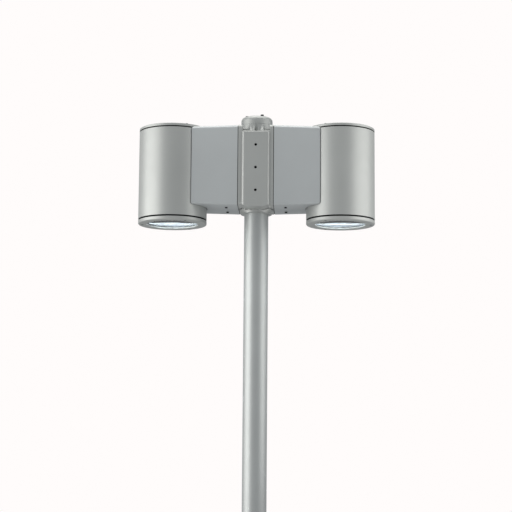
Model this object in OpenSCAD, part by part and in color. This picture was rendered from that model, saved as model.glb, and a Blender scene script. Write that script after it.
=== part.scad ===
// Pole-top twin downlight. Two drum heads hang on short tapered arms, one each side of a cast hub
// that slips over a round post. The post stands on a bolted base plate and has a service door.
// Millimetres, +Z up, arms along X, front towards -Y, origin under the centre of the base plate.

/* [Post] */
// Outside diameter of the post tube
post_d = 76.1; // [76.1:0.1:76.1]
// Wall of the post tube
post_wall = 3.2; // [2.9:0.1:4]
// Height of the lower head joint above the ground
joint_height = 2500; // [2200:10:3200]
// How far the post reaches up into the hub, above the lower head joint
post_reach = 230; // [200:1:232]

/* [Base plate] */
// Side of the square base plate
base_w = 260; // [240:1:300]
// Thickness of the base plate
base_t = 12; // [10:1:20]
// Distance between anchor holes
anchor_pitch = 190; // [180:1:200]
// Diameter of an anchor hole, for an M16 stud
anchor_hole_d = 17.5; // [14:0.5:20]
// Diameter of the cable entry
entry_d = 60; // [40:1:64]

/* [Service door] */
// Height of the middle of the door
door_z = 650; // [500:10:900]
// Width of the opening
door_w = 46; // [40:1:48]
// Height of the opening
door_h = 300; // [280:1:400]
// Gap all round the door
door_gap = 1; // [0.5:0.1:1.5]

/* [Heads] */
// Outside diameter of a head
head_d = 216; // [210:1:220]
// Distance from the post axis to a head axis
head_x = 265; // [262:1:270]
// Level of the upper joint above the lower joint
upper_joint = 282; // [278:1:290]
// Height of the upper black joint line
joint_gap = 4; // [3:0.5:5]
// Height of the lower black joint line
lens_gap = 5; // [4:0.5:6]
// Wall of the drum
head_wall = 5; // [4:0.5:6]
// Height of the lens frame below the joint line
frame_h = 11; // [10.5:0.5:14]
// Diameter of the light opening
opening_d = 158; // [150:1:160]
// Overall height of a top cover
cover_h = 12; // [11:1:18]

/* [Arms] */
// Half depth of an arm at the hub
arm_hub_half = 95; // [93:1:97]
// Half depth of an arm at the head
arm_head_half = 89.5; // [86:0.5:92]
// Wall of an arm
arm_wall = 5; // [4:0.5:6]
// Thickness of the gasket between arm and head
saddle_t = 2; // [1.5:0.5:3]

/* [Hub] */
// Distance from the post axis to the arm joint
hub_half = 54.7; // [54:0.1:58]
// Half width of the raised front and rear faces
face_half = 43; // [42:1:44]
// Half depth over the raised faces
face_depth = 102; // [100:1:104]
// Diameter of the collar and the core round the post
collar_d = 98; // [96:1:98]
// Diameter of the cap and its neck
cap_d = 99.2; // [99:0.1:100]
// Level of the cap's top above the lower joint
cap_top = 330; // [328:0.5:340]
// Radius of the cap's edge
cap_round = 12; // [10:0.5:14]

/* [Hidden] */
$fn = 96;

LEFT = -1;
RIGHT = 1;
silver = [0.70, 0.71, 0.70];
steel = [0.62, 0.62, 0.63];
zinc = [0.75, 0.76, 0.77];
black = [0.09, 0.09, 0.10];
white = [0.90, 0.90, 0.88];

clear = 0.3;                             // gap between pieces that move past each other
post_r = post_d / 2;
post_in_r = post_r - post_wall;
post_top = joint_height + post_reach;

base_round = 20;
weld_leg = 7;
backing_half = 30;
backing_t = 3.2;
backing_relief = 0.6;
backing_z = door_h / 2 - 22;             // door screws, above and below the middle of the door
door_screw_r = 3;
door_screw_tip = 28;
box_size = [42, 40, 150];
box_y = 7;
rail_half = 17.5;
rail_y = box_y + box_size[1] / 2;
stud_z = door_z - 122;
grommet_h = 8;
grommet_hole_r = 15;

head_r = head_d / 2;
opening_r = opening_d / 2;
drum_low = lens_gap / 2;
drum_high = upper_joint - joint_gap / 2;
cover_low = upper_joint + joint_gap / 2;
frame_low = -lens_gap / 2 - frame_h;
cover_seat = 8;                          // seats of the cover screws, above the cover's underside
cover_screw_r = 2.4;
cover_screw_head = 2.9;
frame_screw_r = 2.5;
boss_ring = 95;                          // radius of the ring of screw bosses
boss_r = 8;
boss_hole_r = 2.9;
boss_hole_depth = 23;
boss_angles = [60, 180, 300];            // from the direction of the post
lug_angles = [0, 120, 240];
tray_z = 150;
tray_t = 2;
tray_r = 99;
wire_z = 257;
wire_r = 10;
saddle_bolt_angles = [-22, 22];
saddle_bolt_z = [85, 225];

glass_r = 87.5;
glass_t = 5;
glass_top = -lens_gap / 2;               // flush with the top of the lens frame
glass_low = glass_top - glass_t;
pocket_r = glass_r + 0.8;
mouth_z = 3.5;                           // reflector, from its mouth to its collar
collar_z = 110;
mouth_r = opening_r + 1;
collar_in_r = 20;
holder_h = tray_z - collar_z - 1.2;

gasket_t = 1.9;                          // between hub and arm
arm_x = hub_half + gasket_t;
arm_tip_x = 200;
arm_low = [35, 38];                      // underside at the hub and at the head
arm_high = [288.5, 285.5];
upper_round = 10;                        // corners of the arms and of the hub between them
lower_round = 7;
gasket_inset = 1.5;
saddle_wall = 6.5;
arm_end_wall = 8;
arm_bolt_y = 60;
arm_bolt_z = [75, 240];
arm_screw_x = 93;
arm_screw_y = 42.5;
section_t = 0.5;

flange_low = 35;
flange_high = 289.5;
flare_low = 22;                          // the collar widens from here up to the flange
flange_wall = 8;
hub_wall = 8;
keel_z = 28.7;
keel_half = 27;
collar_low = 19;
eave_z = 264;                            // top edge of the raised faces, where the roof starts
ridge_z = 295;
face_round = 8;
neck_top = 307;
neck_step_z = 303;                       // the cap's skirt comes down to here round a smaller neck
neck_step_r = 46;
chamber_r = 42;
ledge_t = 9.7;
ledge_hole_r = 26;
chamber_low = post_reach + clear + ledge_t;
set_screw_z = [80, 151.8, 223.5];
set_screw_r = 4;
set_hole_r = 4.25;
set_screw_len = 60;
web_half = 12;
cap_wall = 4;
cap_in_r = 38;
cap_screw_ring = 31;
cap_screw_r = 3;
cap_screw_angles = [-56, 64, 184];
lug_r = 6.5;
lug_h = 10;

// ---- shared shapes ---------------------------------------------------------

// Rectangle with round corners
module round_rect(w, d, r) {
    square([w, d - 2 * r], center = true);
    square([w - 2 * r, d], center = true);
    for (x = [-1, 1], y = [-1, 1])
        translate([x * (w / 2 - r), y * (d / 2 - r)])
            circle(r);
}

// Flat ring or tube standing on z = low
module ring(out_r, in_r, low, high) {
    translate([0, 0, low])
        difference() {
            cylinder(r = out_r, h = high - low);
            translate([0, 0, -1])
                cylinder(r = in_r, h = high - low + 2);
        }
}

// Cylinder along +X from x = low to x = high
module rod_x(r, low, high, sides = $fn) {
    translate([low, 0, 0])
        rotate([0, 90, 0])
            cylinder(r = r, h = high - low, $fn = sides);
}

// Cylinder along Y from y = low to y = high
module rod_y(r, low, high, sides = $fn) {
    translate([0, high, 0])
        rotate([90, 0, 0])
            cylinder(r = r, h = high - low, $fn = sides);
}

// Socket head screw pointing down, with the underside of its head at z = 0
module socket_screw(r, length, head_h) {
    difference() {
        union() {
            translate([0, 0, -length])
                cylinder(r = r, h = length + 0.5);
            cylinder(r = 1.7 * r, h = head_h);
        }
        translate([0, 0, 0.35 * head_h])
            cylinder(r = 0.9 * r, h = head_h, $fn = 6);
    }
}

// Section of the arms and the hub, with larger corners above than below
module arm_section(half, low, high, inset) {
    h = half - inset;
    a = low + inset;
    b = high - inset;
    u = upper_round - inset / 2;
    d = lower_round - inset / 2;
    translate([-h, a + d])
        square([2 * h, b - a - u - d]);
    translate([-h + u, b - u])
        square([2 * (h - u), u]);
    translate([-h + d, a])
        square([2 * (h - d), d]);
    for (y = [-1, 1]) {
        translate([y * (h - u), b - u])
            circle(u);
        translate([y * (h - d), a + d])
            circle(d);
    }
}

// Luminaire height, with z = 0 at the lower head joint
module aloft() {
    translate([0, 0, joint_height])
        children();
}

// Right-hand piece, or its mirror image on the left
module sided(side) {
    if (side > 0)
        children();
    else
        mirror([1, 0, 0])
            children();
}

// Head coordinates: z = 0 at the lower joint, x = y = 0 on the head's axis, the post towards +X
module in_head(side) {
    aloft()
        sided(side)
            translate([head_x, 0, 0])
                rotate([0, 0, 180])
                    children();
}

module around(angles, radius) {
    for (angle = angles)
        rotate([0, 0, angle])
            translate([radius, 0, 0])
                children();
}

// ---- post ------------------------------------------------------------------

module base_plate() {
    color(silver)
        difference() {
            linear_extrude(base_t)
                round_rect(base_w, base_w, base_round);
            translate([0, 0, -1])
                cylinder(d = entry_d, h = base_t + 2);
            for (x = [-1, 1], y = [-1, 1])
                translate([x * anchor_pitch / 2, y * anchor_pitch / 2, -1])
                    cylinder(d = anchor_hole_d, h = base_t + 2);
        }
}

module base_weld() {
    color(silver)
        rotate_extrude()
            polygon([
                [post_r, base_t],
                [post_r + weld_leg, base_t],
                [post_r, base_t + weld_leg]
            ]);
}

// Upright plate behind the front of the post, with the door's outline grown by a margin
module door_outline(margin) {
    translate([0, 0, door_z])
        rotate([90, 0, 0])
            linear_extrude(post_r + 10)
                round_rect(door_w + 2 * margin, door_h + 2 * margin, 10 + margin);
}

module post_tube() {
    color(silver)
        difference() {
            ring(post_r, post_in_r, base_t, post_top);
            door_outline(0);
        }
}

// Two bars welded inside the opening's ends; their middles are relieved behind the door
module door_backing() {
    color(zinc)
        for (end = [-1, 1])
            translate([0, 0, door_z + end * backing_z])
                difference() {
                    intersection() {
                        ring(post_in_r, post_in_r - backing_t, -14, 14);
                        translate([-backing_half, -post_r, -20])
                            cube([2 * backing_half, post_r, 40]);
                    }
                    intersection() {
                        ring(post_r, post_in_r - backing_relief, -20, 20);
                        translate([-door_w / 2 - 0.5, -post_r - 1, -30])
                            cube([door_w + 1, post_r, 60]);
                    }
                    rod_y(door_screw_r + 0.4, -post_r, 0);
                }
}

module post_door() {
    color(silver)
        difference() {
            intersection() {
                ring(post_r, post_in_r, door_z - door_h, door_z + door_h);
                door_outline(-door_gap);
            }
            for (end = [-1, 1])
                translate([0, 0, door_z + end * backing_z])
                    rod_y(door_screw_r + 0.4, -post_r - 1, 0);
        }
}

module door_screws() {
    color(steel)
        for (end = [-1, 1])
            translate([0, -post_r, door_z + end * backing_z])
                rotate([90, 0, 0])
                    socket_screw(door_screw_r, post_r - door_screw_tip, 3.6);
}

module equipment_rail() {
    color(zinc)
        intersection() {
            translate([-rail_half, rail_y, door_z - 90])
                cube([2 * rail_half, 6, 230]);
            cylinder(r = post_in_r, h = post_top);
        }
}

module fuse_box() {
    color(black)
        translate([-box_size[0] / 2, box_y - box_size[1] / 2, door_z - 50])
            cube(box_size);
}

module earth_stud() {
    color(steel)
        translate([0, 0, stud_z]) {
            intersection() {
                rod_y(4, 14, post_r);
                cylinder(r = post_in_r, h = 20, center = true);
            }
            rod_y(7.5, 23, 29.5, 6);
        }
}

module post_grommet() {
    color(black)
        ring(post_in_r, grommet_hole_r, post_top - grommet_h, post_top);
}

// ---- hub -------------------------------------------------------------------

// Front-view outline of the raised faces, with the keel's sloping sides
module face_outline() {
    polygon([
        [-keel_half, keel_z],
        [keel_half, keel_z],
        [face_half, flange_low + 1],
        [face_half, flange_high + 40],
        [-face_half, flange_high + 40],
        [-face_half, flange_low + 1]
    ]);
}

// Side-view outline, with the roof's slopes up to a ridge that the neck stands in
module roof_outline() {
    polygon([
        [-face_depth, 0],
        [face_depth, 0],
        [face_depth, eave_z],
        [0, ridge_z],
        [-face_depth, eave_z]
    ]);
}

// Side-view outline of the air above the roof
module sky_outline() {
    polygon([
        [-face_depth, eave_z],
        [0, ridge_z],
        [face_depth, eave_z],
        [face_depth, cap_top],
        [-face_depth, cap_top]
    ]);
}

module hub_body() {
    intersection() {
        linear_extrude(neck_step_z)
            round_rect(2 * face_half, 2 * face_depth, face_round);
        rotate([90, 0, 0])
            linear_extrude(3 * face_depth, center = true)
                face_outline();
        rotate([90, 0, 90])
            linear_extrude(3 * face_half, center = true)
                roof_outline();
    }
    rotate([90, 0, 90])
        difference() {
            linear_extrude(2 * hub_half, center = true)
                arm_section(arm_hub_half, flange_low, flange_high, 0);
            linear_extrude(2 * face_half, center = true)
                sky_outline();
        }
    translate([0, 0, flare_low])
        cylinder(r1 = collar_d / 2, r2 = hub_half, h = flange_low + 3 - flare_low);
    translate([0, 0, collar_low])
        cylinder(d = collar_d, h = eave_z - collar_low);
    translate([0, 0, eave_z])
        cylinder(d = cap_d, h = neck_step_z - eave_z);
    translate([0, 0, eave_z])
        cylinder(r = neck_step_r, h = neck_top - eave_z);
}

// Hollow of the casting, in front of and behind the core, with a web behind the set screws
module hub_hollow() {
    half_x = hub_half - flange_wall;
    half_y = arm_hub_half - hub_wall;
    difference() {
        translate([-half_x, -half_y, flange_low + hub_wall])
            cube([2 * half_x, 2 * half_y, eave_z - flange_low - 2 * hub_wall]);
        cylinder(d = collar_d, h = neck_top);
        translate([-web_half, -face_depth, 0])
            cube([2 * web_half, 2 * face_depth, neck_top]);
    }
}

// Lugs in the chamber that take the cap screws
module cap_lugs() {
    difference() {
        for (angle = cap_screw_angles)
            rotate([0, 0, angle])
                translate([cap_screw_ring - lug_r, -lug_r, neck_top - lug_h])
                    cube([chamber_r - cap_screw_ring + lug_r + 1, 2 * lug_r, lug_h]);
        around(cap_screw_angles, cap_screw_ring)
            cylinder(r = cap_screw_r + clear, h = neck_top + 1);
    }
}

module hub() {
    color(silver)
        aloft() {
            cap_lugs();
            difference() {
                hub_body();
                hub_hollow();
                translate([0, 0, collar_low - 1])
                    cylinder(r = post_r + clear, h = post_reach + clear - collar_low + 1);
                cylinder(r = ledge_hole_r, h = neck_top);
                translate([0, 0, chamber_low])
                    cylinder(r = chamber_r, h = neck_top);
                for (z = set_screw_z)
                    translate([0, 0, z])
                        rod_y(set_hole_r, -face_depth - 1, 0);
                translate([0, 0, wire_z])
                    rod_x(wire_r, -hub_half - 1, hub_half + 1);
                for (y = [-arm_bolt_y, arm_bolt_y], z = arm_bolt_z)
                    translate([0, y, z])
                        rod_x(4, -hub_half - 1, hub_half + 1);
            }
        }
}

module set_screws() {
    color(black)
        aloft()
            for (z = set_screw_z)
                translate([0, -post_r - clear, z])
                    difference() {
                        rod_y(set_screw_r, -set_screw_len, 0);
                        rod_y(2.3, -set_screw_len - 1, -set_screw_len + 4, 6);
                    }
}

module terminal_block() {
    color(white)
        aloft()
            translate([-29, -10, chamber_low])
                cube([58, 20, 18]);
}

module cap_gasket() {
    color(black)
        aloft()
            ring(neck_step_r - 0.4, chamber_r + 0.6, neck_top, neck_top + 1.2);
}

// Half outline of the cap, with its round edge
module cap_outline() {
    r = cap_d / 2;
    low = neck_step_z + clear;
    translate([0, low])
        square([r, cap_top - low - cap_round]);
    translate([0, low])
        square([r - cap_round, cap_top - low]);
    translate([r - cap_round, cap_top - cap_round])
        intersection() {
            circle(cap_round);
            square(cap_round);
        }
}

module hub_cap() {
    color(silver)
        aloft()
            difference() {
                rotate_extrude()
                    cap_outline();
                difference() {
                    union() {
                        translate([0, 0, neck_top - 10])
                            cylinder(r = neck_step_r + clear, h = 11.5);
                        translate([0, 0, neck_top - 10])
                            cylinder(r = cap_in_r, h = cap_top - cap_wall - neck_top + 10);
                    }
                    around(cap_screw_angles, cap_screw_ring)
                        translate([0, 0, neck_top + clear])
                            cylinder(r = lug_r, h = cap_top);
                }
                around(cap_screw_angles, cap_screw_ring)
                    translate([0, 0, neck_top - 10])
                        cylinder(r = cap_screw_r + 0.1, h = 40);
            }
}

module cap_screws() {
    color(black)
        aloft()
            around(cap_screw_angles, cap_screw_ring)
                translate([0, 0, cap_top])
                    socket_screw(cap_screw_r, 30, 2 * cap_screw_r);
}

// ---- arms ------------------------------------------------------------------

// Thin slice of an arm, shrunk by inset
module arm_slice(x, half, low, high, inset) {
    translate([x, 0, 0])
        rotate([90, 0, 90])
            linear_extrude(section_t, center = true, $fn = 40)
                arm_section(half, low, high, inset);
}

// Tapered box from x = start to beyond the head's wall
module arm_box(start, inset) {
    hull() {
        arm_slice(start + section_t / 2, arm_hub_half, arm_low[0], arm_high[0], inset);
        arm_slice(arm_tip_x, arm_head_half, arm_low[1], arm_high[1], inset);
    }
}

// Upright cylinder on the head's axis
module head_cut(r, high) {
    translate([head_x, 0, 0])
        cylinder(r = r, h = high);
}

// Places children along the radial saddle bolts, whose axes run along +X from the head's axis
module at_saddle_bolts() {
    for (angle = saddle_bolt_angles, z = saddle_bolt_z)
        rotate([0, 0, angle])
            translate([0, 0, z])
                children();
}

module arm(side) {
    saddle_r = head_r + saddle_t;
    color(silver)
        aloft()
            sided(side)
                difference() {
                    arm_box(arm_x, 0);
                    head_cut(saddle_r, cap_top);
                    difference() {
                        arm_box(arm_x + arm_end_wall, arm_wall);
                        head_cut(saddle_r + saddle_wall, cap_top);
                    }
                    for (y = [-arm_bolt_y, arm_bolt_y], z = arm_bolt_z)
                        translate([0, y, z])
                            rod_x(4.2, hub_half, arm_x + arm_end_wall + 1);
                    translate([0, 0, wire_z])
                        rod_x(wire_r, hub_half, head_x);
                    for (y = [-arm_screw_y, arm_screw_y])
                        translate([arm_screw_x, y, arm_low[0] - 2])
                            cylinder(r = 2.5, h = arm_wall + 6);
                    translate([head_x, 0, 0])
                        rotate([0, 0, 180])
                            at_saddle_bolts()
                                rod_x(4, head_r, saddle_r + 10);
                }
}

module arm_gasket(side) {
    color(black)
        aloft()
            sided(side)
                difference() {
                    translate([hub_half, 0, 0])
                        rotate([90, 0, 90])
                            linear_extrude(gasket_t)
                                arm_section(arm_hub_half, arm_low[0], arm_high[0], gasket_inset);
                    for (y = [-arm_bolt_y, arm_bolt_y], z = arm_bolt_z)
                        translate([0, y, z])
                            rod_x(4.2, hub_half - 1, arm_x + 1);
                    translate([0, 0, wire_z])
                        rod_x(wire_r, hub_half - 1, arm_x + 1);
                }
}

// Hexagon bolts from inside the arm into the hub
module arm_bolts(side) {
    color(steel)
        aloft()
            sided(side)
                for (y = [-arm_bolt_y, arm_bolt_y], z = arm_bolt_z)
                    translate([0, y, z]) {
                        rod_x(4, hub_half - flange_wall, arm_x + arm_end_wall + 1);
                        rod_x(7.5, arm_x + arm_end_wall, arm_x + arm_end_wall + 5.3, 6);
                    }
}

// Small screws in the arm's underside
module arm_screws(side) {
    color(steel)
        aloft()
            sided(side)
                for (y = [-arm_screw_y, arm_screw_y])
                    translate([arm_screw_x, y, arm_low[0] + 0.4])
                        mirror([0, 0, 1])
                            socket_screw(2.5, 12, 3);
}

module saddle_gasket(side) {
    color(black)
        aloft()
            sided(side)
                difference() {
                    intersection() {
                        arm_box(arm_x, gasket_inset);
                        head_cut(head_r + saddle_t, drum_high);
                    }
                    head_cut(head_r, upper_joint);
                    translate([0, 0, wire_z])
                        rod_x(wire_r, arm_x, head_x);
                    translate([head_x, 0, 0])
                        rotate([0, 0, 180])
                            at_saddle_bolts()
                                rod_x(4.2, head_r - 20, head_r + 20);
                }
}

// Hexagon bolts from inside the head into the arm's saddle
module saddle_bolts(side) {
    inner = head_r - head_wall - 2.5;
    color(steel)
        in_head(side)
            at_saddle_bolts() {
                rod_x(4, inner - 1, head_r + saddle_t + 6);
                rod_x(7.5, inner - 5.3, inner, 6);
            }
}

// ---- heads -----------------------------------------------------------------

// Screw boss that grows out of the drum's wall
module boss(h) {
    cylinder(r = boss_r, h = h);
    translate([0, -boss_r, 0])
        cube([head_r - boss_ring, 2 * boss_r, h]);
}

module housing(side) {
    inner = head_r - head_wall;
    color(silver)
        in_head(side)
            difference() {
                union() {
                    ring(head_r, inner, drum_low, drum_high);
                    intersection() {
                        union() {
                            around(boss_angles, boss_ring) {
                                translate([0, 0, drum_low])
                                    boss(30);
                                translate([0, 0, drum_high - 30])
                                    boss(30);
                            }
                            around(lug_angles, boss_ring)
                                translate([0, 0, tray_z - 10])
                                    boss(10);
                            around(saddle_bolt_angles, inner - 2.5)
                                translate([0, -10, drum_low + 60])
                                    cube([10, 20, 186]);
                        }
                        cylinder(r = head_r - 1, h = drum_high);
                    }
                }
                around(boss_angles, boss_ring) {
                    translate([0, 0, drum_low - 1])
                        cylinder(r = boss_hole_r, h = boss_hole_depth + 1);
                    translate([0, 0, drum_high - boss_hole_depth])
                        cylinder(r = boss_hole_r, h = boss_hole_depth + 1);
                }
                at_saddle_bolts()
                    rod_x(4.2, inner - 10, head_r + 1);
                translate([0, 0, wire_z])
                    rod_x(wire_r, inner - 10, head_r + 1);
            }
}

module gear_tray(side) {
    color(zinc)
        in_head(side)
            difference() {
                translate([0, 0, tray_z])
                    cylinder(r = tray_r, h = tray_t);
                translate([-60, 0, tray_z - 1])
                    cylinder(r = 12, h = tray_t + 2);
            }
}

module ballast(side) {
    color(white)
        in_head(side)
            translate([-32, -55, tray_z + tray_t])
                cube([64, 110, 62]);
}

// Square socket under the tray, with a round flange that carries the reflector
module lamp_holder(side) {
    color(white)
        in_head(side)
            difference() {
                union() {
                    translate([0, 0, collar_z + 1.2])
                        cylinder(r = 34, h = 3);
                    translate([-18, -18, collar_z + 1.2])
                        cube([36, 36, holder_h]);
                }
                translate([0, 0, collar_z])
                    cylinder(r = 12.3, h = 20);
            }
}

// Tubular lamp, cap up, on the head's axis
module lamp(side) {
    tip_z = 42;
    color(white)
        in_head(side) {
            translate([0, 0, tip_z + 8])
                cylinder(r = 9.5, h = 50);
            translate([0, 0, tip_z + 9.5])
                sphere(r = 9.5);
            translate([0, 0, tip_z + 55])
                cylinder(r = 12, h = 31);
        }
}

// Spun bowl with a flat collar at the top and a rolled mouth at the bottom
module reflector(side) {
    steps = 14;
    sheet = 1.2;
    bowl = [
        for (i = [0 : steps])
            let (t = i / steps)
                [collar_in_r + (mouth_r - collar_in_r) * sqrt(t), collar_z - (collar_z - mouth_z) * t]
    ];
    outer = [for (i = [steps : -1 : 0]) bowl[i] + [sheet, sheet * 0.4]];
    color(zinc)
        in_head(side) {
            rotate_extrude()
                polygon(concat(bowl, outer));
            ring(34, collar_in_r, collar_z, collar_z + sheet);
            ring(mouth_r + 5, mouth_r, mouth_z, mouth_z + sheet);
        }
}

module lens_gasket(side) {
    color(black)
        in_head(side)
            ring(head_r - 2.2, head_r - 9, -drum_low, drum_low - clear);
}

// Lens frame: outer wall, flat underside, lip under the glass and a pocket for it
module lens_frame(side) {
    color(silver)
        in_head(side)
            difference() {
                rotate_extrude()
                    polygon([
                        [opening_r, frame_low + 1.2],
                        [opening_r + 1.2, frame_low],
                        [head_r - 2, frame_low],
                        [head_r, frame_low + 2],
                        [head_r, -drum_low],
                        [pocket_r, -drum_low],
                        [pocket_r, glass_low - 1.2],
                        [opening_r, glass_low - 1.2]
                    ]);
                around(boss_angles, boss_ring) {
                    translate([0, 0, frame_low - 1])
                        cylinder(r = 2.6, h = 20);
                    translate([0, 0, frame_low - 1])
                        cylinder(r = 4.6, h = 4);
                }
            }
}

module frame_screws(side) {
    color(steel)
        in_head(side)
            around(boss_angles, boss_ring)
                translate([0, 0, frame_low + 3])
                    mirror([0, 0, 1])
                        socket_screw(frame_screw_r, 24, 3);
}

module glass_gasket(side) {
    color(black)
        in_head(side)
            ring(glass_r, opening_r + 1, glass_low - 1.2, glass_low);
}

module lens_glass(side) {
    color([0.75, 0.85, 0.88, 0.35])
        in_head(side)
            translate([0, 0, glass_low])
                cylinder(r = glass_r, h = glass_t);
}

// Flat clips over the edge of the glass, each with its rivet's head
module glass_clips(side) {
    color(steel)
        in_head(side)
            around(lug_angles, glass_r) {
                translate([-5, -7, glass_top])
                    cube([12, 14, 0.8]);
                translate([3.5, 0, glass_top])
                    cylinder(r = 2.5, h = 2);
            }
}

module top_gasket(side) {
    color(black)
        in_head(side)
            ring(head_r - 2.2, head_r - 9, drum_high, cover_low - clear);
}

module top_cover(side) {
    high = cover_low + cover_h;
    color(silver)
        in_head(side)
            difference() {
                rotate_extrude()
                    polygon([
                        [0, high - 8],
                        [head_r - 10, cover_low + 2.5],
                        [head_r - 10, cover_low],
                        [head_r, cover_low],
                        [head_r, cover_low + 6.5],
                        [head_r - 2.5, cover_low + 8],
                        [0, high]
                    ]);
                around(boss_angles, boss_ring) {
                    translate([0, 0, cover_low - 1])
                        cylinder(r = 2.6, h = 20);
                    translate([0, 0, cover_low + cover_seat])
                        cylinder(r = 5, h = 20);
                }
            }
}

module cover_screws(side) {
    color(steel)
        in_head(side)
            around(boss_angles, boss_ring)
                translate([0, 0, cover_low + cover_seat])
                    socket_screw(cover_screw_r, 24, cover_screw_head);
}

base_plate();
base_weld();
post_tube();
door_backing();
equipment_rail();
fuse_box();
earth_stud();
post_grommet();
post_door();
door_screws();
hub();
set_screws();
terminal_block();
cap_gasket();
hub_cap();
cap_screws();
arm(LEFT);  // arm_left
arm_gasket(LEFT);  // arm_gasket_left
arm_bolts(LEFT);  // arm_bolts_left
arm_screws(LEFT);  // arm_screws_left
saddle_gasket(LEFT);  // saddle_gasket_left
saddle_bolts(LEFT);  // saddle_bolts_left
housing(LEFT);  // housing_left
gear_tray(LEFT);  // gear_tray_left
ballast(LEFT);  // ballast_left
lamp_holder(LEFT);  // lamp_holder_left
lamp(LEFT);  // lamp_left
reflector(LEFT);  // reflector_left
lens_gasket(LEFT);  // lens_gasket_left
lens_frame(LEFT);  // lens_frame_left
frame_screws(LEFT);  // frame_screws_left
glass_gasket(LEFT);  // glass_gasket_left
lens_glass(LEFT);  // lens_glass_left
glass_clips(LEFT);  // glass_clips_left
top_gasket(LEFT);  // top_gasket_left
top_cover(LEFT);  // top_cover_left
cover_screws(LEFT);  // cover_screws_left
arm(RIGHT);  // arm_right
arm_gasket(RIGHT);  // arm_gasket_right
arm_bolts(RIGHT);  // arm_bolts_right
arm_screws(RIGHT);  // arm_screws_right
saddle_gasket(RIGHT);  // saddle_gasket_right
saddle_bolts(RIGHT);  // saddle_bolts_right
housing(RIGHT);  // housing_right
gear_tray(RIGHT);  // gear_tray_right
ballast(RIGHT);  // ballast_right
lamp_holder(RIGHT);  // lamp_holder_right
lamp(RIGHT);  // lamp_right
reflector(RIGHT);  // reflector_right
lens_gasket(RIGHT);  // lens_gasket_right
lens_frame(RIGHT);  // lens_frame_right
frame_screws(RIGHT);  // frame_screws_right
glass_gasket(RIGHT);  // glass_gasket_right
lens_glass(RIGHT);  // lens_glass_right
glass_clips(RIGHT);  // glass_clips_right
top_gasket(RIGHT);  // top_gasket_right
top_cover(RIGHT);  // top_cover_right
cover_screws(RIGHT);  // cover_screws_right
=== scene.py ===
"""Looks of the pole-top twin downlight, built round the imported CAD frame. Metres, +Z up, front towards -Y."""
import math

import bmesh
import bpy
from mathutils import Matrix, Vector


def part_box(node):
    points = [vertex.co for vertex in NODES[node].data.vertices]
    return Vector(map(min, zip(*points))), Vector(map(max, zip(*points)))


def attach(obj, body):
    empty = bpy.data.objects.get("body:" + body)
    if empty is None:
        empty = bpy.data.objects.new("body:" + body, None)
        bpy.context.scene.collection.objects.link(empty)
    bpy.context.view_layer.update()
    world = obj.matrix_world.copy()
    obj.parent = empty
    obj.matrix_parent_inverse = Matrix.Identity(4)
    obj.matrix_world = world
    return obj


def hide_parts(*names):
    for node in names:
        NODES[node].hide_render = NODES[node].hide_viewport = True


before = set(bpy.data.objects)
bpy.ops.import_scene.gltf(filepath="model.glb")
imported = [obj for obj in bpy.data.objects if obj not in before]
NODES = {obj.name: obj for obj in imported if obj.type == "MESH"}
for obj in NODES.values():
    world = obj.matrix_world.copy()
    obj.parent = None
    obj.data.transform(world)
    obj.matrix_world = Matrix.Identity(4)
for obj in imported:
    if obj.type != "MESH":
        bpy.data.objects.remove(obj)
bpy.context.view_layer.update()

SIDES = {"left": -1, "right": 1}
MM = 0.001
TURN = 2 * math.pi
FINE = 128                                # segments round a large piece
COARSE = 36                               # segments round a screw
COARSE_PITCH = 1.25 * MM                  # thread of the bolts and set screws

# Radii of the screw shafts
SLIM_SHAFT = 2.4 * MM
M5 = 2.5 * MM
M6 = 3 * MM
M8 = 4 * MM
BOLT_FLAT = 6.5 * MM                      # from the axis of an M8 bolt to a flat of its head
BOLT_HEAD = 5.3 * MM                      # height of that head

# Inner radii and widths of the rubber rings
CAP_SEAL_R = 42.6 * MM
GLASS_SEAL_R = 80 * MM
HEAD_SEAL_W = 9 * MM                      # from the outside of a drum to the inside of its seals

# ---- places taken from the frame --------------------------------------------

drum_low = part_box("housing_right")[0].z
frame_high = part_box("lens_frame_right")[1].z
joint_z = (drum_low + frame_high) / 2     # the lower joint line
head_x = (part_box("housing_right")[0].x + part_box("housing_right")[1].x) / 2
head_r = (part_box("housing_right")[1].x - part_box("housing_right")[0].x) / 2
post_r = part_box("post_tube")[1].x


def head_centre(side):
    return Vector((SIDES[side] * head_x, 0, 0))


def middle(node):
    low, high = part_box(node)
    return (low + high) / 2


def islands(node):
    """Lowest and highest corner of each separate solid in a CAD node."""
    bm = bmesh.new()
    bm.from_mesh(NODES[node].data)
    bmesh.ops.remove_doubles(bm, verts=bm.verts, dist=1e-6)
    unseen = set(bm.verts)
    found = []
    while unseen:
        stack = [unseen.pop()]
        group = list(stack)
        while stack:
            for edge in stack.pop().link_edges:
                for v in edge.verts:
                    if v in unseen:
                        unseen.remove(v)
                        stack.append(v)
                        group.append(v)
        low = Vector(min(v.co[i] for v in group) for i in range(3))
        high = Vector(max(v.co[i] for v in group) for i in range(3))
        found.append((low, high))
    bm.free()
    return sorted(found, key=lambda box: tuple(round(c, 4) for c in box[0]))


# ---- camera -----------------------------------------------------------------

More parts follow.
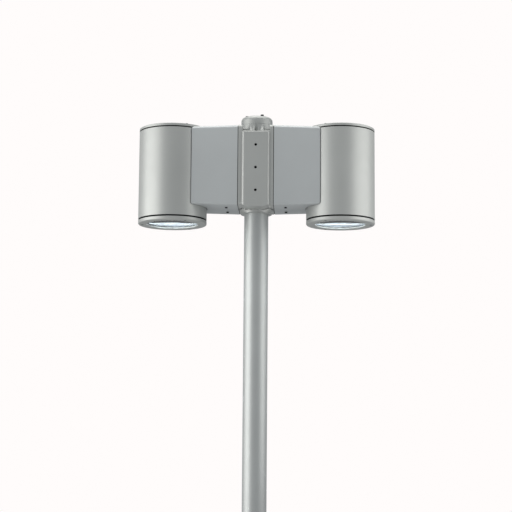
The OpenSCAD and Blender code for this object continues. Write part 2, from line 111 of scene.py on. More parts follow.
def make_camera():
    distance = 4.80                       # from the post's axis
    below = 0.8134                        # eye level below the lower joint line
    azimuth = math.radians(2.03)
    pitch = math.radians(8.31)
    roll = math.radians(0.436)
    data = bpy.data.cameras.new("camera")
    data.sensor_width = 36
    data.lens = 108.57
    data.clip_start = 0.1
    data.clip_end = 300
    camera = bpy.data.objects.new("camera", data)
    bpy.context.scene.collection.objects.link(camera)
    camera.location = (
        distance * math.sin(azimuth),
        -distance * math.cos(azimuth),
        joint_z - below,
    )
    camera.rotation_mode = "XYZ"
    turn = Matrix.Rotation(azimuth, 3, "Z") @ Matrix.Rotation(math.pi / 2 + pitch, 3, "X")
    camera.rotation_euler = (turn @ Matrix.Rotation(roll, 3, "Z")).to_euler()
    bpy.context.scene.camera = camera


make_camera()

# ---- materials --------------------------------------------------------------


class Nodes:
    """Short way to write a node material round one Principled shader."""

    def __init__(self, name):
        self.material = bpy.data.materials.new(name)
        self.material.use_nodes = True
        self.tree = self.material.node_tree
        self.shader = self.tree.nodes["Principled BSDF"]
        self.place = self.add("ShaderNodeTexCoord").outputs["Object"]

    def add(self, kind, **values):
        node = self.tree.nodes.new(kind)
        for key, value in values.items():
            setattr(node, key, value)
        return node

    def link(self, a, b):
        self.tree.links.new(a, b)

    def noise(self, scale, detail=3.0, stretch=None):
        node = self.add("ShaderNodeTexNoise")
        node.inputs["Scale"].default_value = scale
        node.inputs["Detail"].default_value = detail
        source = self.place
        if stretch:
            mapping = self.add("ShaderNodeMapping")
            mapping.inputs["Scale"].default_value = stretch
            self.link(source, mapping.inputs["Vector"])
            source = mapping.outputs["Vector"]
        self.link(source, node.inputs["Vector"])
        return node.outputs["Fac"]

    def cells(self, scale):
        node = self.add("ShaderNodeTexVoronoi")
        node.inputs["Scale"].default_value = scale
        self.link(self.place, node.inputs["Vector"])
        return node.outputs["Distance"]

    def ramp(self, source, low, high, start=0.3, end=0.7):
        node = self.add("ShaderNodeValToRGB")
        node.color_ramp.elements[0].position = start
        node.color_ramp.elements[1].position = end
        node.color_ramp.elements[0].color = (*low, 1)
        node.color_ramp.elements[1].color = (*high, 1)
        self.link(source, node.inputs["Fac"])
        return node.outputs["Color"]

    def span(self, source, low, high):
        node = self.add("ShaderNodeMapRange")
        node.inputs["From Min"].default_value = 0.25
        node.inputs["From Max"].default_value = 0.75
        node.inputs["To Min"].default_value = low
        node.inputs["To Max"].default_value = high
        self.link(source, node.inputs["Value"])
        return node.outputs["Result"]

    def mix(self, fac, a, b):
        node = self.add("ShaderNodeMix", data_type="RGBA")
        self.link(fac, node.inputs["Factor"])
        self.link(a, node.inputs["A"])
        self.link(b, node.inputs["B"])
        return node.outputs["Result"]

    def bump(self, *layers):
        """Layers of (height, strength, depth in metres)."""
        normal = None
        for height, strength, depth in layers:
            node = self.add("ShaderNodeBump")
            node.inputs["Strength"].default_value = strength
            node.inputs["Distance"].default_value = depth
            self.link(height, node.inputs["Height"])
            if normal:
                self.link(normal, node.inputs["Normal"])
            normal = node.outputs["Normal"]
        self.link(normal, self.shader.inputs["Normal"])

    def set(self, **values):
        for key, value in values.items():
            self.shader.inputs[key.replace("_", " ")].default_value = value

    def colour(self, output):
        self.link(output, self.shader.inputs["Base Color"])

    def roughness(self, output):
        self.link(output, self.shader.inputs["Roughness"])


def powder_coat(name, tint, metal, rough):
    """Satin powder coat: fine orange peel, metal flake and faint broad clouding."""
    m = Nodes(name)
    m.set(Metallic=metal)
    cloud = m.noise(7, 2)
    flake = m.cells(2200)
    clouded = m.ramp(cloud, tuple(0.955 * c for c in tint), tuple(1.04 * c for c in tint))
    spark = m.ramp(flake, tuple(1.10 * c for c in tint), tint, 0.05, 0.35)
    m.colour(m.mix(m.noise(900, 1), clouded, spark))
    m.roughness(m.span(m.noise(40, 4), rough - 0.025, rough + 0.03))
    m.bump((m.noise(420, 2), 0.10, 0.25 * MM), (flake, 0.05, 0.05 * MM))
    return m.material


def rubber(name):
    m = Nodes(name)
    m.set(Specular_IOR_Level=0.05)
    m.colour(m.ramp(m.noise(60, 4), (0.003, 0.003, 0.004), (0.007, 0.007, 0.008)))
    m.roughness(m.span(m.noise(300, 3), 0.6, 0.85))
    m.bump((m.noise(900, 2), 0.25, 0.1 * MM))
    return m.material


def bright_metal(name, low, high, rough, grain):
    """Turned or brushed metal: grain is the noise stretch that gives its direction."""
    m = Nodes(name)
    m.set(Metallic=1.0)
    streak = m.noise(60, 5, stretch=grain)
    m.colour(m.ramp(streak, low, high))
    m.roughness(m.span(streak, rough - 0.06, rough + 0.08))
    m.bump((streak, 0.12, 0.05 * MM))
    return m.material


def black_oxide(name):
    m = Nodes(name)
    m.set(Metallic=0.85)
    m.colour(m.ramp(m.noise(500, 4), (0.010, 0.010, 0.012), (0.03, 0.03, 0.034)))
    m.roughness(m.span(m.noise(250, 3), 0.35, 0.55))
    m.bump((m.noise(900, 3), 0.2, 0.04 * MM))
    return m.material


def zinc_plate(name):
    m = Nodes(name)
    m.set(Metallic=1.0)
    m.colour(m.ramp(m.cells(90), (0.55, 0.56, 0.57), (0.76, 0.77, 0.78), 0.1, 0.6))
    m.roughness(m.span(m.cells(110), 0.28, 0.45))
    m.bump((m.noise(500, 3), 0.1, 0.05 * MM))
    return m.material


def moulded(name, low, high, rough, grain=1200):
    """Moulded plastic or glazed ceramic with a fine surface grain."""
    m = Nodes(name)
    m.colour(m.ramp(m.noise(18, 3), low, high))
    m.roughness(m.span(m.noise(grain / 3, 2), rough - 0.05, rough + 0.08))
    m.bump((m.noise(grain, 2), 0.12, 0.06 * MM))
    return m.material


def clear_glass(name, tint, rough, ior=1.5):
    """Clear glass with a trace of dust that only roughens it."""
    m = Nodes(name)
    m.set(Transmission_Weight=1.0, IOR=ior)
    m.colour(m.ramp(m.noise(9, 3), tint, tuple(min(1, 1.03 * c) for c in tint)))
    m.roughness(m.span(m.noise(120, 5), 0.0, rough))
    return m.material


def spun_reflector(name):
    """Satin anodised aluminium with fine spinning rings, which follow the height."""
    m = Nodes(name)
    m.set(Metallic=0.3)
    rings = m.noise(30, 4, stretch=(0.2, 0.2, 30))
    m.colour(m.ramp(rings, (0.80, 0.83, 0.87), (0.90, 0.92, 0.95)))
    m.roughness(m.span(m.noise(40, 3), 0.30, 0.38))
    m.bump((rings, 0.10, 0.05 * MM))
    return m.material


COAT = powder_coat("satin silver coat", (0.40, 0.412, 0.405), 0.45, 0.46)
ARM_COAT = powder_coat("satin silver arm coat", (0.465, 0.488, 0.498), 0.42, 0.48)
POST_COAT = powder_coat("satin silver post coat", (0.43, 0.448, 0.448), 0.45, 0.44)
RUBBER = rubber("black rubber")
STEEL = bright_metal("stainless steel", (0.50, 0.50, 0.51), (0.68, 0.68, 0.69), 0.30, (1, 1, 12))
BRASS = bright_metal("brass", (0.62, 0.45, 0.20), (0.80, 0.62, 0.30), 0.28, (1, 12, 1))
BLACK = black_oxide("black oxide steel")
ZINC = zinc_plate("zinc plate")
CASE_WHITE = moulded("white case", (0.70, 0.70, 0.67), (0.76, 0.76, 0.73), 0.42)
CASE_BLACK = moulded("black case", (0.02, 0.02, 0.022), (0.035, 0.035, 0.038), 0.45)
TERMINAL = moulded("terminal plastic", (0.62, 0.60, 0.54), (0.70, 0.68, 0.62), 0.40)
CERAMIC = moulded("glazed ceramic", (0.78, 0.76, 0.70), (0.86, 0.84, 0.79), 0.16, 300)
GLASS = clear_glass("toughened glass", (0.93, 0.97, 0.96), 0.05)
QUARTZ = clear_glass("quartz", (0.98, 0.99, 1.0), 0.02, 1.46)
REFLECTOR = spun_reflector("spun reflector")

# ---- mesh helpers -----------------------------------------------------------


def hexagon(angle):
    """Radius of a hexagon whose flats are 1 from its centre."""
    return 1 / math.cos((angle + math.pi / 6) % (math.pi / 3) - math.pi / 6)


def turned(profile, segments=COARSE):
    """Closed surface of revolution about Z. A profile point is (radius, z) or (radius, z, shape)."""
    bm = bmesh.new()
    rings = []
    for point in profile:
        radius, z = point[0], point[1]
        if radius < 1e-7:
            rings.append([bm.verts.new((0, 0, z))])
            continue
        shape = point[2] if len(point) > 2 else None
        ring = []
        for i in range(segments):
            angle = TURN * i / segments
            r = radius * (shape(angle) if shape else 1)
            ring.append(bm.verts.new((r * math.cos(angle), r * math.sin(angle), z)))
        rings.append(ring)
    closed = len(rings[0]) > 1
    pairs = list(zip(rings, rings[1:] + rings[:1])) if closed else list(zip(rings, rings[1:]))
    for a, b in pairs:
        for i in range(segments):
            j = (i + 1) % segments
            corners = [a[i % len(a)], a[j % len(a)], b[j % len(b)], b[i % len(b)]]
            unique = list(dict.fromkeys(corners))
            if len(unique) > 2:
                bm.faces.new(unique)
    bmesh.ops.recalc_face_normals(bm, faces=bm.faces)
    return bm


def rod(radius, low, high, segments):
    """Plain round bar along Z."""
    return turned([(0, low), (radius, low), (radius, high), (0, high)], segments)


def round_corners(points, radius, steps=4):
    """A closed outline with each corner replaced by a small arc."""
    result = []
    count = len(points)
    for i, point in enumerate(points):
        here = Vector(point)
        before = Vector(points[i - 1]) - here
        after = Vector(points[(i + 1) % count]) - here
        reach = min(radius, 0.45 * before.length, 0.45 * after.length)
        start = here + before.normalized() * reach
        end = here + after.normalized() * reach
        for k in range(steps + 1):
            t = k / steps
            result.append(tuple((1 - t) ** 2 * start + 2 * t * (1 - t) * here + t * t * end))
    return result


def block(low, high, bevel=0.5 * MM, segments=3):
    """Box with rounded edges."""
    bm = bmesh.new()
    bmesh.ops.create_cube(bm, size=1)
    size = Vector(high) - Vector(low)
    centre = (Vector(high) + Vector(low)) / 2
    for v in bm.verts:
        v.co = Vector(v.co[i] * size[i] for i in range(3)) + centre
    width = min(bevel, 0.45 * min(size))
    bmesh.ops.bevel(bm, geom=bm.edges, offset=width, segments=segments, profile=0.5, affect="EDGES")
    return bm


def moved(bm, matrix):
    bm.transform(matrix)
    if matrix.determinant() < 0:
        bmesh.ops.reverse_faces(bm, faces=bm.faces)
    return bm


def lifted(bm, x=0.0, y=0.0, z=0.0):
    return moved(bm, Matrix.Translation((x, y, z)))


def pointing(bm, direction, at):
    """Turns +Z to a direction and moves the origin to a place."""
    turn = Vector(direction).to_track_quat("Z", "Y").to_matrix().to_4x4()
    return moved(bm, Matrix.Translation(at) @ turn)


def piece(name, parts, material, body, replaces=(), angle=35):
    """One visible object from a list of meshes, riding on a body."""
    mesh = bpy.data.meshes.new(name)
    whole = bmesh.new()
    for part in parts:
        scrap = bpy.data.meshes.new("scrap")
        part.to_mesh(scrap)
        part.free()
        whole.from_mesh(scrap)
        bpy.data.meshes.remove(scrap)
    whole.to_mesh(mesh)
    whole.free()
    mesh.shade_smooth()
    mesh.set_sharp_from_angle(angle=math.radians(angle))
    mesh.materials.append(material)
    obj = bpy.data.objects.new(name, mesh)
    bpy.context.scene.collection.objects.link(obj)
    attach(obj, body)
    if replaces:
        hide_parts(*replaces)
    return obj


def softened(node, material, body, width, segments=3, angle=28):
    """The CAD node's own shape with its hard edges rounded over."""
    bm = bmesh.new()
    bm.from_mesh(NODES[node].data)
    bmesh.ops.remove_doubles(bm, verts=bm.verts, dist=2e-6)
    bmesh.ops.dissolve_limit(bm, angle_limit=math.radians(0.4), verts=bm.verts, edges=bm.edges)
    bmesh.ops.recalc_face_normals(bm, faces=bm.faces)
    obj = piece(node + "_body", [bm], material, body, (node,), angle)
    bevel = obj.modifiers.new("bevel", "BEVEL")
    bevel.width = width
    bevel.segments = segments
    bevel.limit_method = "ANGLE"
    bevel.angle_limit = math.radians(angle)
    bevel.harden_normals = True
    bevel.use_clamp_overlap = True
    graph = bpy.context.evaluated_depsgraph_get()
    mesh = bpy.data.meshes.new_from_object(obj.evaluated_get(graph))
    obj.modifiers.clear()
    obj.data = mesh
    return obj


def finish_node(node, material):
    """Keeps a CAD node and gives it its material."""
    data = NODES[node].data
    data.materials.clear()
    data.materials.append(material)


# ---- screws -----------------------------------------------------------------


def thread(radius, top, bottom, pitch=0.8 * MM):
    """Ridges of a screw thread, from top to bottom."""
    count = max(2, int((top - bottom) / pitch))
    step = (top - bottom) / count
    points = []
    for i in range(count):
        points.append((radius * 0.9, top - (i + 0.15) * step))
        points.append((radius, top - (i + 0.5) * step))
        points.append((radius * 0.9, top - (i + 0.85) * step))
    return points


def socket_screw(radius, head_r, head_h, length):
    """Hexagon socket screw along -Z with the top of its head at z = 0."""
    edge = 0.12 * head_r
    deep = -0.62 * head_h
    key = 0.52 * head_r
    profile = [
        (0, deep - 0.25 * key),
        (key * 0.98, deep, hexagon),
        (key, -0.3 * edge, hexagon),
        (key * 1.12, 0, hexagon),
        (head_r - edge, 0),
        (head_r - 0.3 * edge, -0.3 * edge),
        (head_r, -edge),
        (head_r, -head_h + 0.5 * edge),
        (head_r - 0.5 * edge, -head_h),
        (radius, -head_h),
    ]
    profile += thread(radius, -head_h - radius, -length + 0.6 * radius)
    profile += [(radius * 0.6, -length), (0, -length)]
    return turned(profile)


def hex_bolt(radius, flat, head_h, length):
    """Hexagon bolt along -Z with the top of its head at z = 0."""
    washer = 0.15 * head_h
    profile = [
        (0, 0),
        (flat * 0.90, 0),
        (flat * 0.96, -0.12 * head_h, hexagon),
        (flat, -0.3 * head_h, hexagon),
        (flat, -head_h + washer, hexagon),
        (flat * 0.98, -head_h + washer),
        (flat * 0.98, -head_h),
        (radius, -head_h),
    ]
    profile += thread(radius, -head_h - 2 * radius, -length + 0.5 * radius, COARSE_PITCH)
    profile += [(radius * 0.7, -length), (0, -length)]
    return turned(profile, 48)


def set_screw(radius, length):
    """Grub screw along -Z with its socket at z = 0 and a cup point."""
    key = 0.55 * radius
    profile = [
        (0, -1.3 * radius),
        (key, -radius, hexagon),
        (key, -0.1 * radius, hexagon),
        (key * 1.15, 0, hexagon),
        (radius * 0.86, 0),
        (radius, -0.14 * radius),
    ]
    profile += thread(radius, -0.4 * radius, -length + 0.5 * radius, COARSE_PITCH)
    profile += [(radius * 0.65, -length), (radius * 0.45, -length), (0, -length + 0.4 * radius)]
    return turned(profile)


def screws(node, name, body, material, direction, make, shaft):
    """Replaces every screw of a CAD node. direction points out of the heads."""
    axis = max(range(3), key=lambda i: abs(direction[i]))
    across = (axis + 1) % 3
    sign = 1 if direction[axis] > 0 else -1
    parts = []
    for low, high in islands(node):
        at = (low + high) / 2
        at[axis] = high[axis] if sign > 0 else low[axis]
        head_r = (high[across] - low[across]) / 2
        length = high[axis] - low[axis]
        parts.append(pointing(make(shaft, head_r, length), direction, at))
    return piece(name, parts, material, body, (node,), 40)


def cap_head(shaft, head_r, length):
    return socket_screw(shaft, head_r, 1.2 * shaft, length)


def tall_head(shaft, head_r, length):
    return socket_screw(shaft, head_r, 2 * shaft, length)


def grub(shaft, head_r, length):
    return set_screw(shaft, length)


# ---- post -------------------------------------------------------------------


def make_post():
    finish_node("post_tube", POST_COAT)
    softened("base_plate", POST_COAT, "post", 1.2 * MM)
    softened("post_door", POST_COAT, "service_door", 0.5 * MM)
    finish_node("door_backing", ZINC)
    screws("door_screws", "door_screw_set", "service_door", STEEL, (0, -1, 0), cap_head, M6)
    make_weld()
    make_grommet()


def make_weld():
    """Fillet weld with overlapping ripples between the post and its plate."""
    low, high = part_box("base_weld")
    leg = high.z - low.z
    segments = 360
    ripples = 72
    steps = 5                             # from the plate up to the post
    sides = steps + 2                     # with the hidden corner
    bm = bmesh.new()
    rings = []
    for i in range(segments):
        angle = TURN * i / segments
        swell = 0.93 + 0.07 * abs(math.sin(angle * ripples / 2))
        ring = []
        for k in range(steps + 1):
            t = k / steps * math.pi / 2
            r = post_r + leg * (1 - math.sin(t)) * swell
            z = low.z + leg * (1 - math.cos(t)) * swell
            ring.append(bm.verts.new((r * math.cos(angle), r * math.sin(angle), z)))
        ring.append(bm.verts.new(((post_r - MM) * math.cos(angle), (post_r - MM) * math.sin(angle), low.z)))
        rings.append(ring)
    for a, b in zip(rings, rings[1:] + rings[:1]):
        for k in range(sides):
            after = (k + 1) % sides
            bm.faces.new((a[k], b[k], b[after], a[after]))
    bmesh.ops.recalc_face_normals(bm, faces=bm.faces)
    piece("weld_bead", [bm], POST_COAT, "post", ("base_weld",), 60)


def make_grommet():
    low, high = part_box("post_grommet")
    outer = high.x
    hole = 15 * MM
    flare = 4 * MM
    outline = [
        (hole, low.z), (outer, low.z), (outer, high.z),
        (hole + flare, high.z), (hole, high.z - 0.75 * flare),
    ]
    bm = turned(round_corners(outline, 1.2 * MM), FINE)
    piece("grommet", [bm], RUBBER, "post", ("post_grommet",))


def make_fuse_gear():
    """Rail, fuse box with lid and lid screws, and earth stud behind the service door."""
    low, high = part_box("equipment_rail")
    parts = [block(low, high, 0.6 * MM)]
    piece("rail", parts, ZINC, "post", ("equipment_rail",))

    low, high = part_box("fuse_box")
    seam = low.y + 12 * MM                # between the lid and the case
    inset = 5 * MM
    body = [
        block((low.x, seam + 0.4 * MM, low.z), high, 2 * MM),
        block((low.x, low.y + 2 * MM, low.z), (high.x, seam, high.z), 2 * MM),
        block(
            (low.x + inset, low.y, low.z + 10 * inset),
            (high.x - inset, seam, high.z - 6 * inset),
            1.5 * MM,
        ),
    ]
    grip_inset = 8 * MM
    grip_pitch = 6 * MM
    for i in range(5):
        z = low.z + 2 * grip_pitch + grip_pitch * i
        grip_low = (low.x + grip_inset, low.y + 1.2 * MM, z)
        grip_high = (high.x - grip_inset, low.y + 4 * MM, z + 2 * MM)
        body.append(block(grip_low, grip_high))
    piece("fuse_box_case", body, CASE_BLACK, "post", ("fuse_box",))
    lid = []
    for x in (low.x + inset, high.x - inset):
        for z in (low.z + 6 * MM, high.z - 6 * MM):
            screw = socket_screw(1.5 * MM, 2.8 * MM, 1.6 * MM, 8 * MM)
            lid.append(pointing(screw, (0, -1, 0), (x, low.y + 0.8 * MM, z)))
    piece("fuse_box_screws", lid, STEEL, "post")

    low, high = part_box("earth_stud")
    z = (low.z + high.z) / 2
    centre = (low.x + high.x) / 2
    end = low.y - high.y
    profile = [(0, 0), (0.8 * M8, 0)]
    profile += thread(M8, -0.6 * MM, end + MM, COARSE_PITCH)
    profile += [(0.85 * M8, end), (0, end)]
    stud = turned(profile)
    nut_r = 6.9 * MM
    nut_h = 6 * MM
    edge = 0.3 * MM
    nut = turned([
        (M8, 0), (nut_r - edge, 0), (nut_r, -MM, hexagon), (nut_r, MM - nut_h, hexagon),
        (nut_r - edge, -nut_h), (M8, -nut_h),
    ], 48)
    parts = [
        pointing(stud, (0, -1, 0), (centre, low.y, z)),
        pointing(nut, (0, -1, 0), (centre, low.y + 9.2 * MM, z)),
    ]
    piece("earth_stud_set", parts, BRASS, "post", ("earth_stud",), 40)


# ---- hub --------------------------------------------------------------------


def make_hub():
    softened("hub", COAT, "luminaire", 1.2 * MM, 3, 24)
    softened("hub_cap", COAT, "cap", 0.6 * MM)
    screws("set_screws", "set_screw_set", "luminaire", BLACK, (0, -1, 0), grub, M8)
    screws("cap_screws", "cap_screw_set", "cap", BLACK, (0, 0, 1), tall_head, M6)
    gasket_ring("cap_gasket", "cap_seal", "luminaire", CAP_SEAL_R, Vector((0, 0, 0)))
    make_terminals()


def make_terminals():
    low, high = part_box("terminal_block")
    poles = 5
    pitch = (high.x - low.x) / poles
    shell = []
    metal = []
    for i in range(poles):
        x = low.x + pitch * (i + 0.5)
        half = 0.46 * pitch
        shell.append(block((x - half, low.y, low.z), (x + half, high.y, high.z - 4 * MM), 0.8 * MM))
        ridge_low = (x - 0.6 * half, low.y + 4 * MM, high.z - 6 * MM)
        ridge_high = (x + 0.6 * half, high.y - 4 * MM, high.z)
        shell.append(block(ridge_low, ridge_high, MM))
        for y in (low.y + 2.6 * MM, high.y - 2.6 * MM):
            head = turned([
                (0, -0.8 * MM), (0.9 * MM, -0.8 * MM), (0.9 * MM, 0), (1.9 * MM, 0),
                (2.2 * MM, -0.4 * MM), (2.2 * MM, -3 * MM), (0, -3 * MM),
            ], 24)
            metal.append(lifted(head, x, y, high.z - 3.4 * MM))
    strip_low = (low.x + MM, low.y + 6 * MM, low.z)
    strip_high = (high.x - MM, high.y - 6 * MM, low.z + 5 * MM)
    shell.append(block(strip_low, strip_high))
    piece("terminal_shell", shell, TERMINAL, "luminaire", ("terminal_block",))
    piece("terminal_screws", metal, BRASS, "luminaire")


def gasket_ring(node, name, body, inner, centre):
    """Rubber ring with two lips top and bottom, in the place of a flat CAD ring."""
    low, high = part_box(node)
    outer = (high.x - low.x) / 2
    mid = (inner + outer) / 2
    dip = 0.12 * (high.z - low.z)
    outline = [
        (inner, low.z), (mid - dip, low.z), (mid, low.z + dip), (mid + dip, low.z), (outer, low.z),
        (outer, high.z), (mid + dip, high.z), (mid, high.z - dip), (mid - dip, high.z), (inner, high.z),
    ]
    bm = turned(round_corners(outline, 0.5 * MM, 2), FINE)
    lifted(bm, centre.x, centre.y)
    piece(name, [bm], RUBBER, body, (node,))


# ---- arms and heads ---------------------------------------------------------


def make_arm(side):
    sign = SIDES[side]
    softened("arm_" + side, ARM_COAT, "luminaire", 0.9 * MM)
    softened("arm_gasket_" + side, RUBBER, "luminaire", 0.5 * MM)
    softened("saddle_gasket_" + side, RUBBER, "luminaire", 0.5 * MM)
    screws("arm_screws_" + side, "arm_screw_set_" + side, "luminaire", BLACK,
           (0, 0, -1), cap_head, M5)

    def bolt(shaft, head_r, length):
        return hex_bolt(shaft, BOLT_FLAT, BOLT_HEAD, length)

    screws("arm_bolts_" + side, "arm_bolt_set_" + side, "luminaire", STEEL,
           (sign, 0, 0), bolt, M8)
    centre = head_centre(side)
    parts = []
    start = head_r - 12.8 * MM            # top of a bolt's head, inside the drum
    length = head_r + 8 * MM - start      # to the bolt's tip, in the arm's end wall
    for low, high in islands("saddle_bolts_" + side):
        mid = (low + high) / 2
        inward = Vector((centre.x - mid.x, centre.y - mid.y, 0)).normalized()
        at = Vector((centre.x, centre.y, mid.z)) - inward * start
        parts.append(pointing(hex_bolt(M8, BOLT_FLAT, BOLT_HEAD, length), inward, at))
    piece("saddle_bolt_set_" + side, parts, STEEL, "luminaire", ("saddle_bolts_" + side,), 40)


def make_head(side):
    lens = "lens_" + side
    cover = "cover_" + side
    centre = head_centre(side)
    softened("housing_" + side, COAT, "luminaire", 0.3 * MM)
    softened("lens_frame_" + side, COAT, lens, 0.3 * MM)
    softened("top_cover_" + side, COAT, cover, 0.3 * MM)
    seal_r = head_r - HEAD_SEAL_W
    gasket_ring("lens_gasket_" + side, "lens_seal_" + side, lens, seal_r, centre)
    gasket_ring("top_gasket_" + side, "top_seal_" + side, "luminaire", seal_r, centre)
    gasket_ring("glass_gasket_" + side, "glass_seal_" + side, lens, GLASS_SEAL_R, centre)
    screws("frame_screws_" + side, "frame_screw_set_" + side, lens, BLACK,
           (0, 0, -1), cap_head, M5)
    screws("cover_screws_" + side, "cover_screw_set_" + side, cover, BLACK,
           (0, 0, 1), cap_head, SLIM_SHAFT)
    make_glass(side, lens, centre)
    make_reflector(side, centre)
    make_lamp(side, centre)
    make_gear(side, centre)


def make_glass(side, lens, centre):
    low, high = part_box("lens_glass_" + side)
    radius = (high.x - low.x) / 2
    edge = 1.2 * MM
    nick = 0.3 * edge
    profile = [
        (0, low.z),
        (radius - edge, low.z),
        (radius - nick, low.z + nick),
        (radius, low.z + edge),
        (radius, high.z - edge),
        (radius - nick, high.z - nick),
        (radius - edge, high.z),
        (0, high.z),
    ]
    bm = lifted(turned(profile, FINE), centre.x, centre.y)
    glass = piece("glass_" + side, [bm], GLASS, lens, ("lens_glass_" + side,))
    glass.visible_shadow = False          # so that light reaches what lies behind it without caustics
    parts = []
    for low, high in islands("glass_clips_" + side):
        mid = (low + high) / 2
        out = Vector((mid.x - centre.x, mid.y - centre.y, 0)).normalized()
        turn = Matrix.Rotation(math.atan2(out.y, out.x), 4, "Z")
        base = Matrix.Translation((centre.x, centre.y, low.z)) @ turn
        reach = radius - 5 * MM
        leaf = block((reach, -6.8 * MM, 0), (reach + 11.8 * MM, 6.8 * MM, 0.8 * MM), 0.3 * MM)
        rib = block((reach + 1.5 * MM, -5 * MM, 0.5 * MM), (reach + 3 * MM, 5 * MM, 1.3 * MM), 0.3 * MM)
        rivet = turned([
            (0, 2 * MM), (1.4 * MM, 1.8 * MM), (2.4 * MM, 1.1 * MM), (2.5 * MM, 0.5 * MM), (0, 0.5 * MM),
        ], 24)
        lifted(rivet, reach + 8.5 * MM)
        parts += [moved(p, base) for p in (leaf, rib, rivet)]
    piece("glass_clip_set_" + side, parts, STEEL, lens, ("glass_clips_" + side,))


def make_reflector(side, centre):
    """Spun bowl: rolled mouth, parabolic wall of thin sheet and a flat collar."""
    low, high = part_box("reflector_" + side)
    mouth_r = (high.x - low.x) / 2 - 5 * MM
    collar_r = 20 * MM
    collar_out_r = 34 * MM
    mouth_z = low.z + 0.2 * MM
    collar_z = high.z - 1.2 * MM
    sheet = 0.9 * MM
    steps = 36
    inner = []
    for i in range(steps + 1):
        t = i / steps
        inner.append((collar_r + (mouth_r - collar_r) * math.sqrt(t), collar_z - (collar_z - mouth_z) * t))
    outer = [(r + sheet, z + 0.4 * sheet) for r, z in reversed(inner)]
    lip = [
        (mouth_r + 1.5 * MM, mouth_z - 0.1 * MM), (mouth_r + 4.4 * MM, mouth_z - 0.1 * MM),
        (mouth_r + 4.9 * MM, mouth_z + 0.5 * MM), (mouth_r + 4.2 * MM, mouth_z + MM),
    ]
    collar = [
        (collar_out_r, collar_z + 0.3 * MM),
        (collar_out_r, collar_z + 1.1 * MM),
        (collar_r, collar_z + 1.1 * MM),
    ]
    bm = lifted(turned(inner + lip + outer + collar, FINE), centre.x, centre.y)
    piece("reflector_bowl_" + side, [bm], REFLECTOR, "luminaire", ("reflector_" + side,))


def make_lamp(side, centre):
    """Tubular discharge lamp: ceramic cap, quartz bulb with domed tip, arc tube and lead wires."""
    low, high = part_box("lamp_" + side)
    bulb_r = 9.5 * MM
    wall = 1.1 * MM
    cap_z = low.z + 55 * MM
    seat = cap_z + 2 * MM                 # where the bulb ends inside the cap

    def dome(radius, z, steps=10):
        turns = [t * math.pi / 2 / steps for t in range(steps + 1)]
        return [(radius * math.sin(turn), z - radius * math.cos(turn)) for turn in turns]

    outside = dome(bulb_r, low.z + bulb_r) + [(bulb_r, seat)]
    inside = dome(bulb_r - wall, low.z + bulb_r)[::-1]
    bulb = turned(outside + [(bulb_r - wall, seat)] + inside, 48)
    bulb = piece("lamp_bulb_" + side, [lifted(bulb, centre.x, centre.y)], QUARTZ, "luminaire",
                 ("lamp_" + side,))
    bulb.visible_shadow = False

    cap_r = 12 * MM
    waist_r = cap_r - MM
    cap = [
        (0, cap_z), (9 * MM, cap_z), (10.5 * MM, cap_z + 0.6 * MM), (cap_r, seat), (cap_r, cap_z + 9 * MM),
        (waist_r, cap_z + 10 * MM), (waist_r, cap_z + 12 * MM), (cap_r, cap_z + 13 * MM),
        (cap_r, high.z - MM), (waist_r, high.z), (0, high.z),
    ]
    cap = lifted(turned(cap, 48), centre.x, centre.y)
    piece("lamp_cap_" + side, [cap], CERAMIC, "luminaire")

    arc_z = low.z + 29 * MM
    arc_r = 4 * MM
    arc_h = 5 * MM                        # straight part of the arc tube
    stem_r = 0.9 * MM
    wire_r = 0.4 * MM
    wire_x = 6 * MM
    foot_z = arc_z - 16 * MM              # bottom of the lead wire
    arc = dome(arc_r, arc_z) + [(arc_r, arc_z + arc_h)]
    arc += [(r, 2 * arc_z + arc_h - z) for r, z in dome(arc_r, arc_z)[::-1]][1:]
    tube = turned(arc, 32)
    lower_stem = rod(stem_r, foot_z - MM, arc_z - 3 * MM, 16)
    upper_stem = rod(stem_r, arc_z + 8 * MM, cap_z, 16)
    parts = [lifted(part, centre.x, centre.y) for part in (tube, lower_stem, upper_stem)]
    piece("arc_tube_" + side, parts, CERAMIC, "luminaire")
    wire = lifted(rod(wire_r, foot_z, cap_z, 12), centre.x + wire_x, centre.y)
    bridge = block(
        (centre.x - wire_r, centre.y - wire_r, foot_z - 0.6 * MM),
        (centre.x + wire_x + wire_r, centre.y + wire_r, foot_z + 0.2 * MM),
        0.2 * MM,
    )
    piece("lead_wire_" + side, [wire, bridge], STEEL, "luminaire")


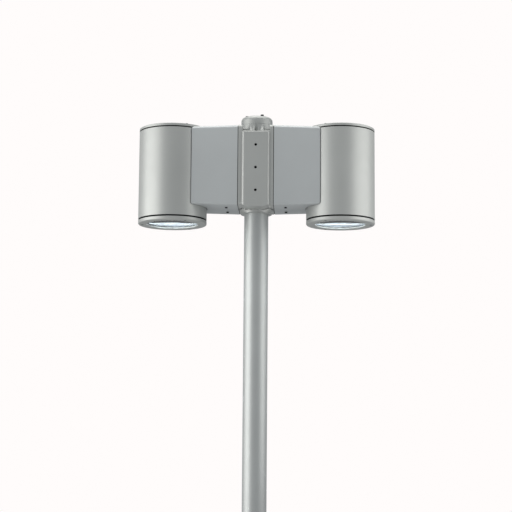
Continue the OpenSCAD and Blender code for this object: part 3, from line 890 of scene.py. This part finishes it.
def make_gear(side, centre):
    """Lamp holder, gear tray with a folded rim, and the control gear on it."""
    low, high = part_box("lamp_holder_" + side)
    bore = 12.4 * MM
    flange_r = (high.x - low.x) / 2
    flange_z = low.z + 3 * MM
    edge = 0.6 * MM
    flange = turned([
        (bore, low.z), (flange_r - edge, low.z), (flange_r, low.z + 0.8 * MM),
        (flange_r, flange_z - edge), (flange_r - edge, flange_z), (bore, flange_z),
    ], 72)
    half = 18 * MM
    socket_z = low.z + half
    collar = turned([
        (bore, flange_z), (16.5 * MM, flange_z), (16 * MM, socket_z), (bore, socket_z),
    ], 48)
    parts = [lifted(flange, centre.x, centre.y), lifted(collar, centre.x, centre.y)]
    socket_low = (centre.x - half, -half, socket_z)
    socket_high = (centre.x + half, half, high.z)
    parts.append(block(socket_low, socket_high, 1.5 * MM))
    leg = 2 * MM                          # half the side of a leg between flange and socket
    for x in (-1, 1):
        for y in (-1, 1):
            leg_x = centre.x + x * 15 * MM
            leg_y = y * 15 * MM
            leg_low = (leg_x - leg, leg_y - leg, flange_z - 0.5 * MM)
            leg_high = (leg_x + leg, leg_y + leg, socket_z + MM)
            parts.append(block(leg_low, leg_high, 0.6 * MM))
    piece("lamp_socket_" + side, parts, CERAMIC, "luminaire", ("lamp_holder_" + side,))

    softened("gear_tray_" + side, ZINC, "luminaire", 0.5 * MM)

    low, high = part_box("ballast_" + side)
    case = [block(low, (high.x, high.y, high.z - 16 * MM), 2 * MM)]
    inset = 3 * MM
    step_low = (low.x + inset, low.y + inset, high.z - 18 * MM)
    step_high = (high.x - inset, high.y - inset, high.z - 4 * MM)
    case.append(block(step_low, step_high, 3 * MM))
    fin_pitch = 9 * MM
    for i in range(9):
        y = low.y + 2 * fin_pitch + i * fin_pitch
        fin_low = (low.x + 9 * MM, y, high.z - 6 * MM)
        fin_high = (high.x - 9 * MM, y + 3 * MM, high.z)
        case.append(block(fin_low, fin_high, 0.8 * MM))
    piece("control_gear_" + side, case, CASE_WHITE, "luminaire", ("ballast_" + side,))
    feet = []
    margin = 6 * MM
    for x in (low.x + margin, high.x - margin):
        for y in (low.y + margin, high.y - margin):
            screw = socket_screw(1.8 * MM, 3.4 * MM, 2 * MM, 8 * MM)
            feet.append(lifted(screw, x, y, high.z - 14.2 * MM))
    piece("control_gear_screws_" + side, feet, STEEL, "luminaire")


# ---- studio -----------------------------------------------------------------


def make_floor():
    mesh = bpy.data.meshes.new("floor")
    bm = bmesh.new()
    bmesh.ops.create_circle(bm, cap_ends=True, segments=96, radius=60)
    bm.to_mesh(mesh)
    bm.free()
    floor = bpy.data.objects.new("floor", mesh)
    m = Nodes("floor")
    m.colour(m.ramp(m.noise(0.8, 3), (0.80, 0.795, 0.79), (0.83, 0.825, 0.82)))
    m.roughness(m.span(m.noise(3, 3), 0.75, 0.9))
    m.bump((m.noise(30, 3), 0.05, MM))
    mesh.materials.append(m.material)
    bpy.context.scene.collection.objects.link(floor)


def softbox(name, place, aim, size, watts, colour=(1.0, 0.985, 0.95)):
    """Area light that the camera doesn't see."""
    data = bpy.data.lights.new(name, "AREA")
    data.shape = "RECTANGLE"
    data.size, data.size_y = size
    data.energy = watts
    data.color = colour
    light = bpy.data.objects.new(name, data)
    light.location = place
    light.rotation_mode = "QUATERNION"
    light.rotation_quaternion = (Vector(place) - Vector(aim)).to_track_quat("Z", "Y")
    light.visible_camera = False
    bpy.context.scene.collection.objects.link(light)


def lamp_glow(side):
    """The lit lamp's light inside its reflector."""
    data = bpy.data.lights.new("glow_" + side, "POINT")
    data.energy = 0.8
    data.shadow_soft_size = 8 * MM
    data.color = (0.90, 0.96, 1.0)
    light = bpy.data.objects.new("glow_" + side, data)
    light.location = middle("lamp_" + side) - Vector((0, 0, 15 * MM))
    light.visible_camera = False
    bpy.context.scene.collection.objects.link(light)


def make_world():
    """Even near-white surround; it lights the object less than it shows."""
    world = bpy.data.worlds.new("studio")
    world.use_nodes = True
    bpy.context.scene.world = world
    tree = world.node_tree
    shown = tree.nodes["Background"]
    shown.inputs["Color"].default_value = (1.0, 0.972, 0.965, 1)
    shown.inputs["Strength"].default_value = 1.0
    lighting = tree.nodes.new("ShaderNodeBackground")
    lighting.inputs["Color"].default_value = (0.93, 0.97, 1.0, 1)
    lighting.inputs["Strength"].default_value = 0.40
    path = tree.nodes.new("ShaderNodeLightPath")
    mix = tree.nodes.new("ShaderNodeMixShader")
    tree.links.new(path.outputs["Is Camera Ray"], mix.inputs["Fac"])
    tree.links.new(lighting.outputs["Background"], mix.inputs[1])
    tree.links.new(shown.outputs["Background"], mix.inputs[2])
    tree.links.new(mix.outputs["Shader"], tree.nodes["World Output"].inputs["Surface"])


def make_studio():
    heads_z = joint_z + 0.14
    make_floor()
    make_world()
    softbox("left softbox", (-2.5, -0.8, heads_z - 0.3), (0, 0, heads_z - 0.3), (2.8, 2.6), 70)
    softbox("right softbox", (1.10, -0.15, heads_z - 0.2), (0.30, 0.35, heads_z - 0.2), (1.1, 1.5), 9.5)
    softbox("top softbox", (0, -0.2, heads_z + 1.8), (0, 0, heads_z), (2.4, 2.0), 40)
    for side in SIDES:
        lamp_glow(side)
    bpy.context.scene.view_settings.view_transform = "Standard"


# ---- build ------------------------------------------------------------------

make_post()
make_fuse_gear()
make_hub()
for side_name in SIDES:
    make_arm(side_name)
    make_head(side_name)
make_studio()
